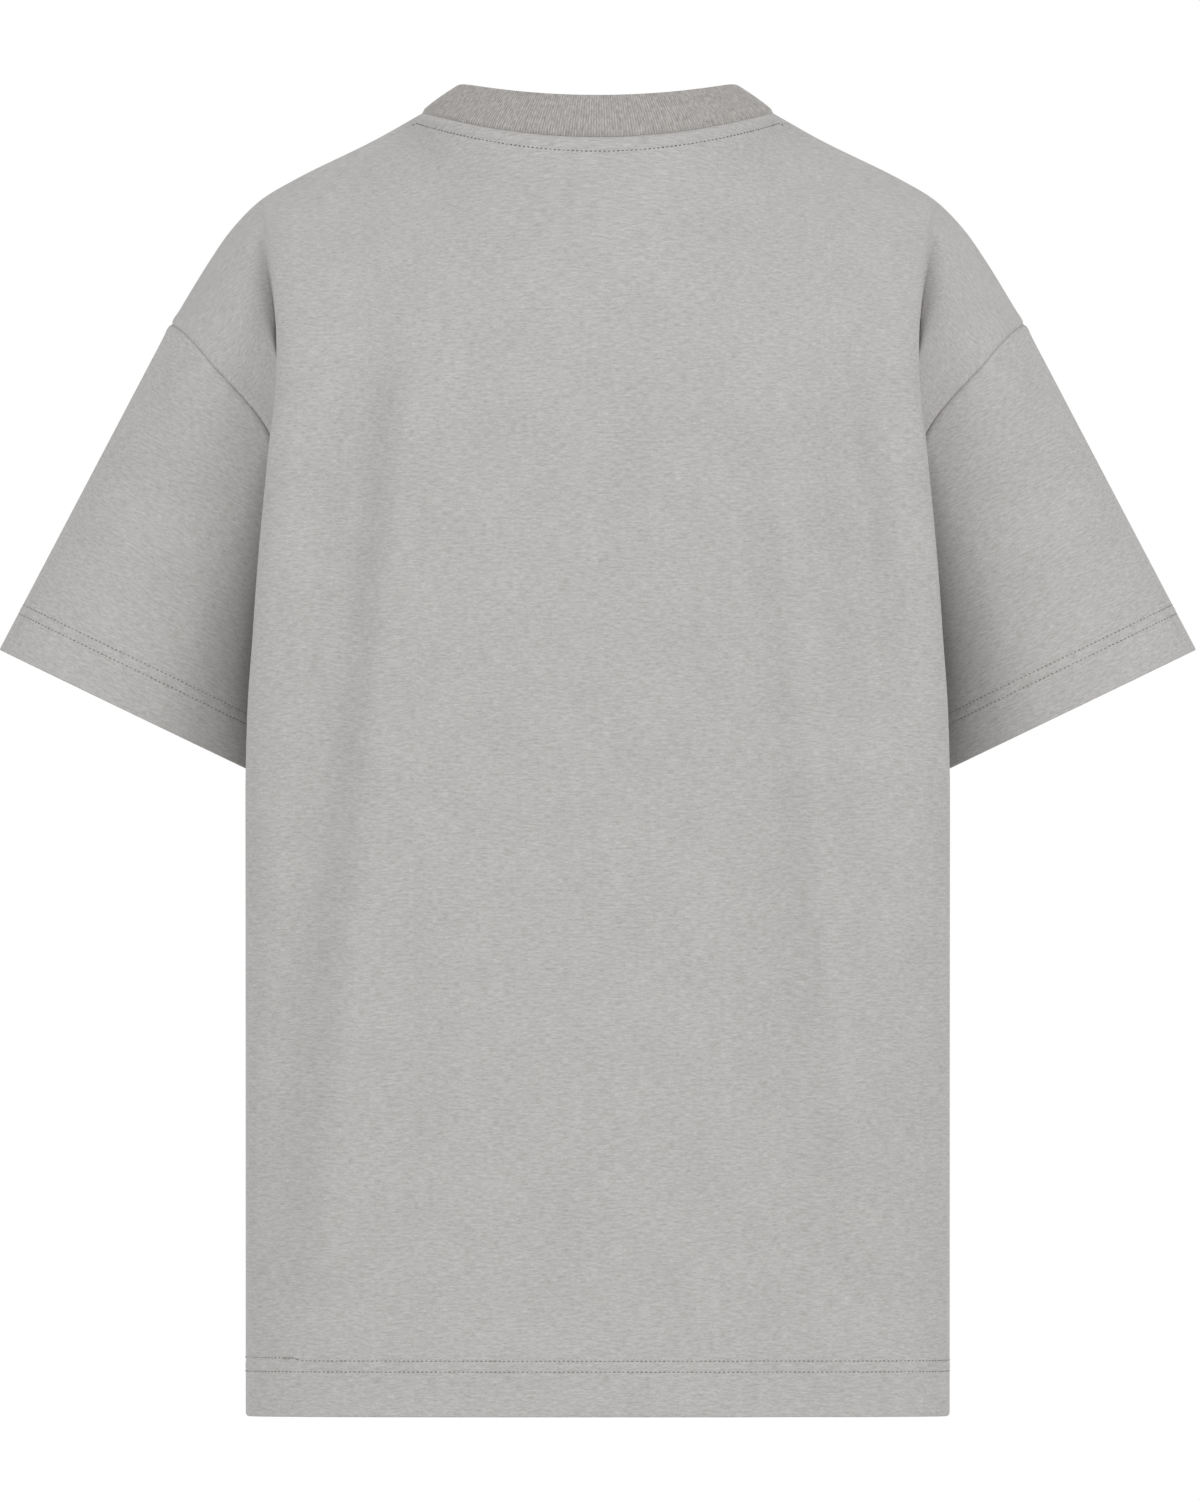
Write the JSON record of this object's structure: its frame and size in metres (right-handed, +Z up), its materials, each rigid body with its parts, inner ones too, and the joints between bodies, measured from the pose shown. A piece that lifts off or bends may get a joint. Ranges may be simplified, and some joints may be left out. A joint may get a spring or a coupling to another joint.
{
  "type": "short-sleeved crew neck t-shirt",
  "caption": "Heather grey crew neck t-shirt, drop shoulder, filled out as worn, with a rib neck band and twin-stitched hems.",
  "frame": {"origin": "middle of the neck opening, level with the high shoulder points, where the wearer's neck holds the shirt", "axes": "+X to the wearer's right, +Y to the wearer's front, +Z up"},
  "size_m": [0.6834, 0.2406, 0.7604],
  "materials": {
    "jersey": "matte heather grey cotton jersey",
    "rib": "matte heather grey 1x1 rib"
  },
  "bodies": {
    "root": {"back_panel": "jersey", "front_panel": "jersey", "sleeve_right": "jersey", "sleeve_left": "jersey", "neck_band": "rib"}
  },
  "joints": []
}
